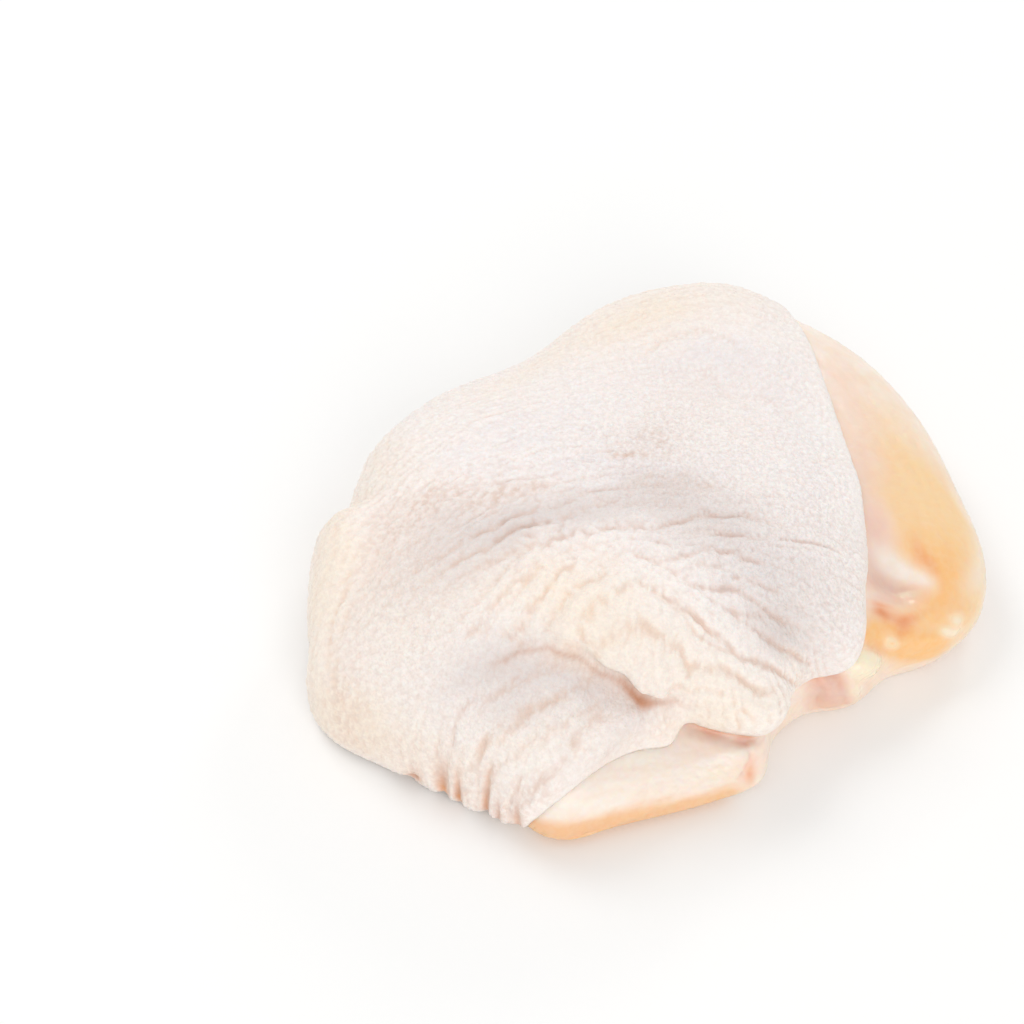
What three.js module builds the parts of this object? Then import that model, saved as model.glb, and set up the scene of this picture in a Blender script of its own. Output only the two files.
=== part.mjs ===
// A raw boneless chicken leg, skin side up, with its meat folded under it into a mound.
//
// Two solids: the meat, and the skin that lies over it like a blanket. Millimetres, +Z up, with the
// leg resting on z = 0 and centred on x = 0, y = 0. The side at -Y is the one that faces a viewer.
import * as THREE from "three";
import { mergeVertices } from "three/addons/utils/BufferGeometryUtils.js";

// ---- driving sizes ---------------------------------------------------------------------------

const CROWN_HEIGHT = 33; // of the meat, under the middle of the skin
const CROWN = [-2, -6]; // the point that the outlines are drawn round, seen from above
const MEAN_RADIUS = 61; // of the outline, which the inner rings of the mesh keep to
const SHOULDER_POWER = 2.5; // 2 makes a round dome, and more makes a flatter top with a fuller side
const FOOT_ANGLE = 2.2; // radians from the crown over the side to the foot, past a right angle
const TUCK = 0.3; // how far the side draws in under its widest line
const CHART_LENGTH = 80; // from crown to foot along the surface
const CHART_EASE = 0.6; // spreads the way from crown to foot evenly: the bend starts this slowly

const SKIN_THICKNESS = 1.9;
const SKIN_THINNEST = 1; // at the bottom of a crease
const SKIN_GAP = 0.5; // between the meat and the skin
const SKIN_LIP = 2.4; // the width over which the skin thins out to its edge
const SKIN_MEAN_SHARE = 0.7; // of the way from crown to foot, at the skin's edge

const GRID = 45; // points along each side of the grid that each face is made from

// The meat's widest line seen from above, clockwise from the right: x, y, and the height it runs at.
const MEAT_OUTLINE = [
  [66.0, -7.0, 9], // the side of the bare muscle
  [62.5, 11.0, 11],
  [57.5, 29.0, 12],
  [48.5, 44.5, 13],
  [36.5, 55.5, 13], // where the muscle goes under the skin
  [18.0, 64.5, 13], // the far end
  [-5.0, 57.5, 13],
  [-24.5, 38.5, 12], // the far left shoulder
  [-43.0, 27.5, 12],
  [-54.0, 14.5, 11],
  [-57.0, 3.0, 10],
  [-60.0, -11.0, 9],
  [-60.5, -28.0, 7],
  [-61.5, -39.5, 5], // the near left corner
  [-52.0, -49.0, 5],
  [-38.5, -57.0, 4],
  [-27.0, -64.5, 4],
  [-19.5, -69.0, 3], // the point of the thin flap
  [-6.0, -65.6, 3],
  [10.0, -60.5, 3],
  [19.0, -55.8, 3],
  [22.0, -46.5, 4], // the notch beside the flap
  [28.5, -40.0, 4],
  [38.0, -37.5, 4],
  [45.5, -31.0, 5],
  [56.0, -26.5, 6], // the end of the bare muscle
  [64.0, -18.0, 7],
];

// Where the meat stands above or below the crown's height: a round hill or dip with its two half
// widths, the angle in degrees that the first is turned from +X, and its rise.
const MEAT_FORMS = [
  { at: [64, -2], half: [26, 60], turn: 0, rise: -10 }, // the bare muscle
  { at: [4, -60], half: [26, 13], turn: 12, rise: -16 }, // the thin flap
  { at: [54, -33], half: [16, 13], turn: 20, rise: -7 }, // the end of the bare muscle
  { at: [32, -44], half: [16, 10], turn: 10, rise: -9 }, // the notch beside the flap
  { at: [-55, -40], half: [26, 26], turn: 0, rise: -3 }, // the near left corner
  { at: [16, 46], half: [24, 20], turn: -25, rise: 3 }, // the far end
  { at: [-27, 28], half: [22, 13], turn: 38, rise: -3.5 }, // the far left shoulder
  { at: [47, -18], half: [8, 6], turn: -25, rise: -6 }, // a hollow in the bare muscle
  { at: [-5, -51], half: [17, 6], turn: -14, rise: -3.5 }, // under the crease
];

// The skin's edge: degrees round the crown from +X, and the share of the way from crown to foot.
const SKIN_EDGE = [
  [66, 0.8], // the far side
  [59, 0.68],
  [51, 0.6],
  [29, 0.5],
  [9, 0.48],
  [-8, 0.48], // beside the bare muscle
  [-21, 0.53],
  [-33, 0.66],
  [-41, 0.71],
  [-53, 0.71],
  [-64, 0.7], // the tip of the roll
  [-71, 0.64],
  [-79, 0.595],
  [-88, 0.605], // above the thin flap
  [-97, 0.65],
  [-102, 0.69],
  [-106, 0.765],
  [-109.5, 0.82],
  [-115, 0.87],
  [-135, 0.88], // the near side
  [-150, 0.89],
  [-165, 0.91],
  [-180, 0.92], // the left side
  [-210, 0.93],
  [-240, 0.93],
  [-265, 0.92],
  [-282, 0.9],
];

// Relief of the skin, in its own chart, where it is peeled off and laid flat round the crown.
const SKIN_FORMS = [
  { at: [4, -36.5], half: [21, 7], turn: -22, rise: 4.2 }, // the roll above the crease
  { at: [19, -44], half: [10, 7], turn: -35, rise: 3.2 }, // its tip, over the notch
  { at: [-10, -42], half: [15, 4.5], turn: -12, rise: -1.6 }, // the crease
  { at: [-13, -50], half: [14, 5], turn: 42, rise: 1.6 }, // a ridge down the near side
  { at: [-20, -27], half: [9, 6], turn: 44, rise: 1 }, // the swelling left of the roll
  { at: [-62, -11], half: [10, 13], turn: 0, rise: 3.8 }, // the thick rim down the left side
  { at: [12, 20], half: [6, 16], turn: 52, rise: -0.8 }, // a shallow vein across the top
  { at: [27, 16], half: [5, 13], turn: 50, rise: -0.8 }, // and another
];

// ---- outlines --------------------------------------------------------------------------------

// A closed smooth curve through [x, y, value] points as a function of the angle round a centre:
// it gives the radius and the value there.
function radialCurve(points, centre) {
  const curve = new THREE.CatmullRomCurve3(
    points.map(([x, y, value]) => new THREE.Vector3(x - centre[0], y - centre[1], value)),
    true,
    "centripetal",
  );
  const turn = 2 * Math.PI;
  const samples = curve
    .getPoints(60 * points.length)
    .slice(1)
    .map((p) => ({ angle: (Math.atan2(p.y, p.x) + turn) % turn, radius: Math.hypot(p.x, p.y), value: p.z }))
    .sort((a, b) => a.angle - b.angle);
  const first = samples[0];
  const last = samples[samples.length - 1];
  samples.unshift({ ...last, angle: last.angle - turn });
  samples.push({ ...first, angle: first.angle + turn });
  return (angle) => {
    const wanted = ((angle % turn) + turn) % turn;
    const k = samples.findIndex((s) => s.angle > wanted);
    const [a, b] = [samples[k - 1], samples[k]];
    const share = (wanted - a.angle) / (b.angle - a.angle);
    return {
      radius: a.radius + (b.radius - a.radius) * share,
      value: a.value + (b.value - a.value) * share,
    };
  };
}

const meatOutline = radialCurve(MEAT_OUTLINE, CROWN);

const skinEdge = radialCurve(
  SKIN_EDGE.map(([degrees, share]) => {
    const angle = THREE.MathUtils.degToRad(degrees);
    return [share * Math.cos(angle), share * Math.sin(angle), 0];
  }),
  [0, 0],
);

// The sum of the hills and dips of a list at a point.
function relief(forms, x, y) {
  return forms.reduce((sum, { at, half, turn, rise }) => {
    const angle = THREE.MathUtils.degToRad(turn);
    const along = (x - at[0]) * Math.cos(angle) + (y - at[1]) * Math.sin(angle);
    const across = (y - at[1]) * Math.cos(angle) - (x - at[0]) * Math.sin(angle);
    return sum + rise * Math.exp(-((along / half[0]) ** 2) - (across / half[1]) ** 2);
  }, 0);
}

// ---- surfaces --------------------------------------------------------------------------------

// The meat's surface at an angle round the crown and a share of the way from crown (0) to foot (1).
function meatPoint(angle, share) {
  const { radius, value: rimHeight } = meatOutline(angle);
  const bend = FOOT_ANGLE * (CHART_EASE * share + (1 - CHART_EASE) * share ** 3);
  const above = bend < Math.PI / 2;
  const reach = above ? Math.sin(bend) : 1 - TUCK * (1 - Math.sin(bend));
  const ring = MEAN_RADIUS + (radius - MEAN_RADIUS) * (above ? reach * reach : 1);
  const x = CROWN[0] + ring * reach * Math.cos(angle);
  const y = CROWN[1] + ring * reach * Math.sin(angle);
  const top = CROWN_HEIGHT + relief(MEAT_FORMS, x, y);
  const z = above
    ? rimHeight + (top - rimHeight) * (1 - reach ** SHOULDER_POWER) ** (1 / SHOULDER_POWER)
    : rimHeight * (1 - Math.cos(bend) / Math.cos(FOOT_ANGLE));
  return new THREE.Vector3(x, y, z);
}

// The way out of the meat at the same place, from two short steps along its surface.
function meatNormal(angle, share) {
  const step = 0.01;
  const near = Math.max(share, 2 * step);
  const outwards = meatPoint(angle, Math.min(near + step, 1)).sub(meatPoint(angle, near - step));
  const round = meatPoint(angle + step, near).sub(meatPoint(angle - step, near));
  return outwards.cross(round).normalize();
}

// A point of a square grid as an angle and a distance from the middle, 0 to 1: rings of squares
// become rings of circles, so that the faces stay about the same size from middle to edge.
function discPoint(column, row) {
  const u = (2 * column) / (GRID - 1) - 1;
  const v = (2 * row) / (GRID - 1) - 1;
  if (u === 0 && v === 0) return { angle: 0, distance: 0 };
  const sideways = Math.abs(u) >= Math.abs(v);
  const eighth = Math.PI / 4;
  const angle = sideways
    ? eighth * (v / u) + (u < 0 ? Math.PI : 0)
    : 2 * eighth - eighth * (u / v) + (v < 0 ? Math.PI : 0);
  return { angle, distance: Math.max(Math.abs(u), Math.abs(v)) };
}

// One face of a mesh over the grid, as positions and triangles. The diagonals all lean towards the
// middle, so that the rim stays smooth.
function gridFace(pointAt) {
  const positions = [];
  for (let row = 0; row < GRID; row++)
    for (let column = 0; column < GRID; column++) {
      const { angle, distance } = discPoint(column, row);
      positions.push(pointAt(angle, distance));
    }
  const triangles = [];
  for (let row = 0; row < GRID - 1; row++)
    for (let column = 0; column < GRID - 1; column++) {
      const a = row * GRID + column;
      const [b, c, d] = [a + 1, a + GRID + 1, a + GRID];
      const leans = column < GRID / 2 - 1 === row < GRID / 2 - 1;
      triangles.push(...(leans ? [[a, b, c], [a, c, d]] : [[a, b, d], [b, c, d]]));
    }
  return { positions, triangles };
}

// A closed, named mesh from faces that meet at their borders, where the shared points are merged.
function closedMesh(name, material, faces) {
  const corners = faces.flatMap(({ positions, triangles, turned }) =>
    triangles.flatMap((t) => (turned ? [...t].reverse() : t).flatMap((k) => positions[k].toArray())),
  );
  const geometry = new THREE.BufferGeometry();
  geometry.setAttribute("position", new THREE.Float32BufferAttribute(corners, 3));
  const mesh = new THREE.Mesh(mergeVertices(geometry, 1e-3), material);
  mesh.geometry.computeVertexNormals();
  mesh.name = name;
  return mesh;
}

// ---- the meat --------------------------------------------------------------------------------

function makeMeat() {
  const material = new THREE.MeshStandardMaterial({ color: 0xf0b98c, roughness: 0.35, metalness: 0 });
  const sides = gridFace(meatPoint);
  return closedMesh("meat", material, [sides, flatUnderside(sides.positions)]);
}

// The flat face that the meat rests on: a fan from the middle to the points along the grid's border.
function flatUnderside(positions) {
  const last = GRID - 1;
  const steps = Array.from({ length: last }, (_, k) => k);
  const border = [
    ...steps.map((k) => k),
    ...steps.map((k) => k * GRID + last),
    ...steps.map((k) => last * GRID + last - k),
    ...steps.map((k) => (last - k) * GRID),
  ];
  const centre = new THREE.Vector3(CROWN[0], CROWN[1], 0);
  const triangles = border.map((_, k) => [0, k + 1, ((k + 1) % border.length) + 1]);
  return { positions: [centre, ...border.map((k) => positions[k])], triangles, turned: true };
}

// ---- the skin --------------------------------------------------------------------------------

// The skin's edge is near the foot on one side and halfway up on the other. The rings between keep
// to its mean distance near the crown, so that the mesh stays even.
function skinPoint(angle, distance, lift) {
  const edge = skinEdge(angle).radius;
  const share = distance * (SKIN_MEAN_SHARE + (edge - SKIN_MEAN_SHARE) * distance);
  const chartX = share * CHART_LENGTH * Math.cos(angle);
  const chartY = share * CHART_LENGTH * Math.sin(angle);
  const toEdge = (edge - share) * CHART_LENGTH;
  const thin = toEdge < SKIN_LIP ? Math.sqrt(1 - (1 - toEdge / SKIN_LIP) ** 2) : 1;
  const thickness = Math.max(SKIN_THICKNESS + relief(SKIN_FORMS, chartX, chartY), SKIN_THINNEST);
  return meatPoint(angle, share).addScaledVector(meatNormal(angle, share), SKIN_GAP + lift * thin * thickness);
}

function makeSkin() {
  const material = new THREE.MeshStandardMaterial({ color: 0xf2e6dc, roughness: 0.45, metalness: 0 });
  const outside = gridFace((angle, distance) => skinPoint(angle, distance, 1));
  const inside = gridFace((angle, distance) => skinPoint(angle, distance, 0));
  return closedMesh("skin", material, [outside, { ...inside, turned: true }]);
}

// ---- the leg ---------------------------------------------------------------------------------

const leg = new THREE.Group();
leg.add(makeMeat(), makeSkin());
const middle = new THREE.Box3().setFromObject(leg).getCenter(new THREE.Vector3());
leg.position.set(-middle.x, -middle.y, 0);

export default leg;
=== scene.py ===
# %% [markdown]
# # A raw boneless chicken leg, resting skin side up
#
# The leg is a low mound of meat with its skin drawn over it like a blanket. On the right the skin
# stops short and a bare muscle shows; in front it is rucked up into a roll, and a thin flap of meat
# comes out from under it. Everything is worked out with numpy as surfaces of two parameters, because
# the forms are known as formulas, and a formula can be looked at, changed and run again.

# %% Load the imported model
import math

import bpy
import numpy as np
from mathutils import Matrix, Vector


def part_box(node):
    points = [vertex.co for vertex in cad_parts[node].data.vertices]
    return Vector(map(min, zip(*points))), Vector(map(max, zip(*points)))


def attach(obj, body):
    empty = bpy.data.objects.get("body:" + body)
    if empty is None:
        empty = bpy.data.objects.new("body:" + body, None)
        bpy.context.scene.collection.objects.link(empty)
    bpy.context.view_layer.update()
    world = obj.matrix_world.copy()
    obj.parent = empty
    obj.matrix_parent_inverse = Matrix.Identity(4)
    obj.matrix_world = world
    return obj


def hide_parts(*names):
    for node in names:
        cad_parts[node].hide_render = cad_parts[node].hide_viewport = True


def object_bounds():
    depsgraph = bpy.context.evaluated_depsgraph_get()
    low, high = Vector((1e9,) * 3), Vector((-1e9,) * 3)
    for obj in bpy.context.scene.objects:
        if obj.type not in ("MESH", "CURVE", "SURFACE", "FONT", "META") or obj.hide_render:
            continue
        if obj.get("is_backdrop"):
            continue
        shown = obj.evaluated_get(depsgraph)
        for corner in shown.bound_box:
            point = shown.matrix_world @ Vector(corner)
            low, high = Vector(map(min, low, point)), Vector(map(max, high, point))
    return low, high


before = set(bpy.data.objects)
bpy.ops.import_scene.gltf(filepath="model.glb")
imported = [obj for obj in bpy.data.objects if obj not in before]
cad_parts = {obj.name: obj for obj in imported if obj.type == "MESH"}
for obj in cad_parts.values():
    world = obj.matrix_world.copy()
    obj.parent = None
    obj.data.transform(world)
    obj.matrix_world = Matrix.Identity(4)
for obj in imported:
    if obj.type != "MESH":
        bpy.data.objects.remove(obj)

cad_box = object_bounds()
MM = 0.001  # the sizes below are in millimetres, and Blender's are in metres
print("the solids span", [round((high - low) / MM, 1) for low, high in zip(*cad_box)], "mm")

# %% [markdown]
# ## The camera
#
# The photograph looks down on the leg at about 45 degrees, from a distance, so that the lines hardly
# draw together. An 85 mm lens half a metre away gives that. The aim is a point on the table left of
# and behind the leg, because the leg lies right of the picture's middle.

# %% Make the camera
VIEW_ELEVATION = math.radians(45)
VIEW_DISTANCE = 500 * MM
LENS = 85  # focal length in millimetres
AIM = (-27 * MM, 17 * MM)  # on the table, in the drawing's own coordinates


def make_camera(aim):
    """The camera stands back from the aim, along a line that rises at the viewing angle."""
    camera = bpy.data.objects.new("camera", bpy.data.cameras.new("camera"))
    bpy.context.scene.collection.objects.link(camera)
    camera.data.lens = LENS
    back = VIEW_DISTANCE * math.cos(VIEW_ELEVATION)
    camera.location = (aim[0], aim[1] - back, VIEW_DISTANCE * math.sin(VIEW_ELEVATION))
    camera.rotation_euler = (math.pi / 2 - VIEW_ELEVATION, 0, 0)
    bpy.context.scene.camera = camera


# %% [markdown]
# ## The mound
#
# Seen from above the mound has a crooked outline, and from the side a low dome whose foot tucks in.
# A point of its surface is named by an angle round the crown and by its share of the way from the
# crown to the foot. Unrolled, that is also a flat chart of the skin, with nearly true lengths: the
# wrinkles are drawn on this chart, as a tailor draws on cloth before it is sewn.

# %% The sizes of the mound
CROWN_HEIGHT = 33
CROWN = np.array([-2.0, -6.0])  # the middle of the mound, seen from above
MEAN_RADIUS = 61
SHOULDER_POWER = 2.5  # 2 makes a round shoulder, more a squarer one
FOOT_ANGLE = 2.2  # how far the side bends in all, in radians
TUCK = 0.3  # how far the foot draws in, as a share of what the bend would give
CHART_LENGTH = 80  # from the crown to the foot
CHART_EASE = 0.6  # the part of the bend that comes evenly, the rest comes late

# x, y and height of the widest line, from the right and against the clock seen from above
MEAT_OUTLINE = [
    (66.0, -7.0, 9), (62.5, 11.0, 11), (57.5, 29.0, 12), (48.5, 44.5, 13), (36.5, 55.5, 13),
    (18.0, 64.5, 13), (-5.0, 57.5, 13), (-24.5, 38.5, 12), (-43.0, 27.5, 12), (-54.0, 14.5, 11),
    (-57.0, 3.0, 10), (-60.0, -11.0, 9), (-60.5, -28.0, 7), (-61.5, -39.5, 5), (-52.0, -49.0, 5),
    (-38.5, -57.0, 4), (-27.0, -64.5, 4), (-19.5, -69.0, 3), (-6.0, -65.6, 3), (10.0, -60.5, 3),
    (19.0, -55.8, 3), (22.0, -46.5, 4), (28.5, -40.0, 4), (38.0, -37.5, 4), (45.5, -31.0, 5),
    (56.0, -26.5, 6), (64.0, -18.0, 7),
]

# Hills and dips: where, the two half widths, the first one's turn in degrees, and the rise
MEAT_FORMS = [
    ((64, -2), (26, 60), 0, -10),  # the bare muscle lies lower
    ((4, -60), (26, 13), 12, -16),  # the thin flap
    ((54, -33), (16, 13), 20, -7),  # the end of the bare muscle
    ((32, -44), (16, 10), 10, -9),  # the notch beside the flap
    ((-55, -40), (26, 26), 0, -3),  # the near left corner
    ((16, 46), (24, 20), -25, 3),  # the far end
    ((-27, 28), (22, 13), 38, -3.5),  # the far left shoulder
    ((47, -18), (8, 6), -25, -6),  # a hollow in the bare muscle
    ((-5, -51), (17, 6), -14, -3.5),  # under the crease
]


# %% Outlines as functions of the angle
def smooth_loop(points, steps=60):
    """A closed curve through the points. Between two of them it mixes straight ways along the four
    nearest points, then mixes the mixtures. The time from point to point is the square root of their
    distance, so that the curve keeps close to them and makes no loops."""
    p = np.asarray(points, float)
    ring = [np.roll(p, shift, axis=0)[:, None, :] for shift in (1, 0, -1, -2)]
    gaps = [np.linalg.norm(b - a, axis=-1, keepdims=True) ** 0.5 for a, b in zip(ring, ring[1:])]
    times = [0, gaps[0], gaps[0] + gaps[1], gaps[0] + gaps[1] + gaps[2]]
    t = times[1] + gaps[1] * (np.arange(steps) / steps)[None, :, None]

    def between(a, b, start, end):
        """The point at time t on the straight way from a at the start to b at the end."""
        return ((end - t) * a + (t - start) * b) / (end - start)

    first = [between(ring[k], ring[k + 1], times[k], times[k + 1]) for k in range(3)]
    second = [between(first[k], first[k + 1], times[k], times[k + 2]) for k in range(2)]
    return between(second[0], second[1], times[1], times[2]).reshape(-1, p.shape[1])


def by_angle(points, centre):
    """The closed curve as a function of the angle round the centre: radius, and any third value."""
    curve = smooth_loop(points)
    offset = curve[:, :2] - centre
    angle = np.arctan2(offset[:, 1], offset[:, 0])
    order = np.argsort(angle)
    columns = [np.hypot(offset[:, 0], offset[:, 1])[order]] + [v[order] for v in curve[:, 2:].T]
    return lambda wanted: [np.interp(wanted, angle[order], c, period=2 * np.pi) for c in columns]


meat_outline = by_angle(MEAT_OUTLINE, CROWN)
AROUND = np.radians(np.arange(360))
radii = meat_outline(AROUND)[0]
print("the widest line is", round(radii.min()), "to", round(radii.max()), "mm from the crown's axis")


# %% The surface of the meat
def relief(forms, x, y):
    """The sum of round hills and dips: rise times exp(-(along / half)^2 - (across / half)^2)."""
    total = np.zeros_like(x)
    for (at_x, at_y), (half_along, half_across), turn, rise in forms:
        c, s = math.cos(math.radians(turn)), math.sin(math.radians(turn))
        along = (x - at_x) * c + (y - at_y) * s
        across = (y - at_y) * c - (x - at_x) * s
        total += rise * np.exp(-((along / half_along) ** 2) - (across / half_across) ** 2)
    return total


def mound(angle, share):
    """A point of the mound. Its distance from the crown's axis is the outline's radius times the
    sine of the bend, and its height falls from the top to the widest line as a superellipse does.
    Near the crown the rings are round, with the mean radius in place of the outline's. Past a right
    angle the side tucks in under the widest line, down to the foot at height zero."""
    radius, rim = meat_outline(angle)
    bend = FOOT_ANGLE * (CHART_EASE * share + (1 - CHART_EASE) * share**3)
    above = bend < np.pi / 2
    reach = np.where(above, np.sin(bend), 1 - TUCK * (1 - np.sin(bend)))
    ring = MEAN_RADIUS + (radius - MEAN_RADIUS) * np.where(above, reach**2, 1)
    x = CROWN[0] + ring * reach * np.cos(angle)
    y = CROWN[1] + ring * reach * np.sin(angle)
    top = CROWN_HEIGHT + relief(MEAT_FORMS, x, y)
    fall = (1 - np.minimum(reach, 1) ** SHOULDER_POWER) ** (1 / SHOULDER_POWER)
    foot = rim * (1 - np.cos(bend) / math.cos(FOOT_ANGLE))
    return np.stack([x, y, np.where(above, rim + (top - rim) * fall, foot)], -1)


def mound_normal(angle, share, step=0.01):
    """The way out of the mound: the cross product of two short steps along its surface."""
    share = np.maximum(share, 2 * step)
    outwards = mound(angle, np.minimum(share + step, 1)) - mound(angle, share - step)
    round_it = mound(angle + step, share) - mound(angle - step, share)
    normal = np.cross(outwards, round_it)
    return normal / np.linalg.norm(normal, axis=-1, keepdims=True)


def to_chart(angle, share):
    """Where a point of the surface lies on the flat chart, in millimetres from the crown."""
    return share * CHART_LENGTH * np.cos(angle), share * CHART_LENGTH * np.sin(angle)


def from_chart(x, y):
    """The way back: angle and share for a place on the chart."""
    return np.arctan2(y, x), np.hypot(x, y) / CHART_LENGTH


# %% [markdown]
# A grid over a disc has a pole and ever wider cells if it is made of rings and spokes. Here a square
# grid is pressed into a disc instead: its rings of squares become rings of circles, all cells stay
# about the same size, and the outer ring is one closed edge.


# %% A square grid pressed into a disc
def disc_grid(count):
    """Angle and distance (0 in the middle, 1 at the edge) for each point of a count by count grid."""
    u, v = np.meshgrid(np.linspace(-1, 1, count), np.linspace(-1, 1, count))
    sideways = np.abs(u) >= np.abs(v)
    with np.errstate(divide="ignore", invalid="ignore"):
        east = np.pi / 4 * np.nan_to_num(v / u) + np.where(u < 0, np.pi, 0)
        north = np.pi / 2 - np.pi / 4 * np.nan_to_num(u / v) + np.where(v < 0, np.pi, 0)
    return np.where(sideways, east, north), np.maximum(np.abs(u), np.abs(v))


def grid_triangles(count, first=0):
    """Two triangles for each cell, with diagonals that lean towards the middle."""
    row, column = np.meshgrid(np.arange(count - 1), np.arange(count - 1), indexing="ij")
    a = first + row * count + column
    b, c, d = a + 1, a + count + 1, a + count
    leans = ((column < (count - 1) / 2) == (row < (count - 1) / 2))[..., None]
    one = np.where(leans, np.stack([a, b, c], -1), np.stack([a, b, d], -1))
    two = np.where(leans, np.stack([a, c, d], -1), np.stack([b, c, d], -1))
    return np.concatenate([one.reshape(-1, 3), two.reshape(-1, 3)])


def grid_border(count, first=0):
    """The grid's outer points in order, against the clock seen from above."""
    k = np.arange(count - 1)
    last = count - 1
    sides = [k, k * count + last, last * count + last - k, (last - k) * count]
    return first + np.concatenate(sides)


# %% Numbers in, a Blender object out
meat_low, meat_high = (np.array(corner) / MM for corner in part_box("meat"))
ROUGH_GRID = 61  # enough to find out where the drawing lies
plain_meat = mound(*disc_grid(ROUGH_GRID)).reshape(-1, 3)
SHIFT = (meat_low + meat_high - plain_meat.min(0) - plain_meat.max(0))[:2] / 2
print("the drawing moves by", np.round(SHIFT, 2), "mm into the packed frame")
make_camera((AIM[0] + SHIFT[0] * MM, AIM[1] + SHIFT[1] * MM))


def make_piece(name, points, triangles, masks=None):
    """A smooth mesh object at the origin. Each mask is a value from 0 to 1 at every point, kept as
    an attribute that the material can read."""
    points = (points + np.append(SHIFT, 0)) * MM
    mesh = bpy.data.meshes.new(name)
    mesh.vertices.add(len(points))
    mesh.vertices.foreach_set("co", points.astype(np.float32).ravel())
    mesh.loops.add(triangles.size)
    mesh.loops.foreach_set("vertex_index", triangles.astype(np.int32).ravel())
    mesh.polygons.add(len(triangles))
    mesh.polygons.foreach_set("loop_start", np.arange(0, triangles.size, 3, dtype=np.int32))
    mesh.polygons.foreach_set("use_smooth", np.ones(len(triangles), bool))
    mesh.update(calc_edges=True)
    for mask, values in (masks or {}).items():
        attribute = mesh.attributes.new(mask, "FLOAT", "POINT")
        attribute.data.foreach_set("value", values.astype(np.float32).ravel())
    piece = bpy.data.objects.new(name, mesh)
    bpy.context.scene.collection.objects.link(piece)
    print(name, "has", len(points), "points and", len(triangles), "triangles")
    return piece


# %% [markdown]
# ## Noise
#
# Skin is uneven in two ways: long soft wrinkles, and small round bumps where feathers grew. Gradient
# noise makes the first, and cell noise, which measures the distance to scattered seeds, the second.
# Both read small tables of random numbers that are drawn from a fixed seed.


# %% Gradient noise and cell noise
TABLE = 256  # the noise repeats after this many cells
SEED = 71
draws = np.random.default_rng(SEED)
slopes = draws.normal(size=(TABLE, TABLE, 2))
slopes /= np.linalg.norm(slopes, axis=-1, keepdims=True)
seeds = draws.random((TABLE, TABLE, 3))


def gradient_noise(x, y):
    """Smooth noise of about -0.7 to 0.7: each corner of a unit square slopes its own way, and the
    four slopes are mixed with weights that ease in and out."""
    cell_x, cell_y = np.floor(x).astype(int), np.floor(y).astype(int)
    in_x, in_y = x - cell_x, y - cell_y

    def corner(dx, dy):
        """How high the slope that belongs to a corner of the square stands at this place."""
        slope = slopes[(cell_x + dx) % TABLE, (cell_y + dy) % TABLE]
        return slope[..., 0] * (in_x - dx) + slope[..., 1] * (in_y - dy)

    ease_x, ease_y = (t**3 * (t * (6 * t - 15) + 10) for t in (in_x, in_y))
    low = corner(0, 0) + ease_x * (corner(1, 0) - corner(0, 0))
    high = corner(0, 1) + ease_x * (corner(1, 1) - corner(0, 1))
    return low + ease_y * (high - low)


def cell_noise(x, y):
    """Distance to the nearest seed, to the second nearest, and a random number of the nearest."""
    cell_x, cell_y = np.floor(x).astype(int), np.floor(y).astype(int)
    nearest = np.full(x.shape, 9.0)
    second = np.full(x.shape, 9.0)
    lot = np.zeros(x.shape)
    for dx in (-1, 0, 1):
        for dy in (-1, 0, 1):
            seed = seeds[(cell_x + dx) % TABLE, (cell_y + dy) % TABLE]
            away = np.hypot(cell_x + dx + seed[..., 0] - x, cell_y + dy + seed[..., 1] - y)
            closer = away < nearest
            second = np.where(closer, nearest, np.minimum(second, away))
            lot = np.where(closer, seed[..., 2], lot)
            nearest = np.where(closer, away, nearest)
    return nearest, second, lot


def ease(low, high, value):
    """0 below low, 1 above high, and a smooth step between them."""
    t = np.clip((value - low) / (high - low), 0, 1)
    return t * t * (3 - 2 * t)


# %% [markdown]
# ## The shape of the skin
#
# The real skin is 1 to 2 mm thick and slides over the meat, so it folds and rucks. Here it is the
# mound's surface moved outwards along its normal. What it rises by is drawn on the chart: first the
# large forms, then creases, wrinkles and bumps. The roll in front is more than a hill, because its
# lip hangs over the crease, so there the chart itself is dragged downhill under the lip.

# %% The skin's edge
SKIN_THICKNESS = 1.9
SKIN_GAP = 0.5  # between the skin and the meat
SKIN_LIP = 2.4  # how far in from its edge the skin is rounded off
MEAN_SHARE = 0.7  # where the edge would lie if it were a circle

# degrees round the crown, and share of the way from crown to foot
SKIN_EDGE = [
    (66, 0.8), (59, 0.68), (51, 0.6), (29, 0.5), (9, 0.48), (-8, 0.48), (-21, 0.53), (-33, 0.66),
    (-41, 0.71), (-53, 0.71), (-64, 0.7), (-71, 0.64), (-77, 0.6), (-82, 0.575), (-86, 0.612),
    (-92, 0.62), (-98, 0.65), (-102, 0.69), (-106, 0.75), (-109.5, 0.82), (-113, 0.88), (-119, 0.92),
    (-127, 0.93), (-136, 0.93), (-150, 0.92), (-165, 0.92), (-180, 0.92), (-210, 0.93), (-240, 0.93),
    (-265, 0.92), (-282, 0.9),
]
# nicks in the near edge: degrees round the crown, half width in degrees, and depth as a share
NICKS = [(-133, 2.5, 0.04), (-126, 1.6, 0.03), (-117, 1.8, 0.03)]

smooth_edge = by_angle(
    [(s * math.cos(math.radians(d)), s * math.sin(math.radians(d))) for d, s in SKIN_EDGE], (0, 0)
)


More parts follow.
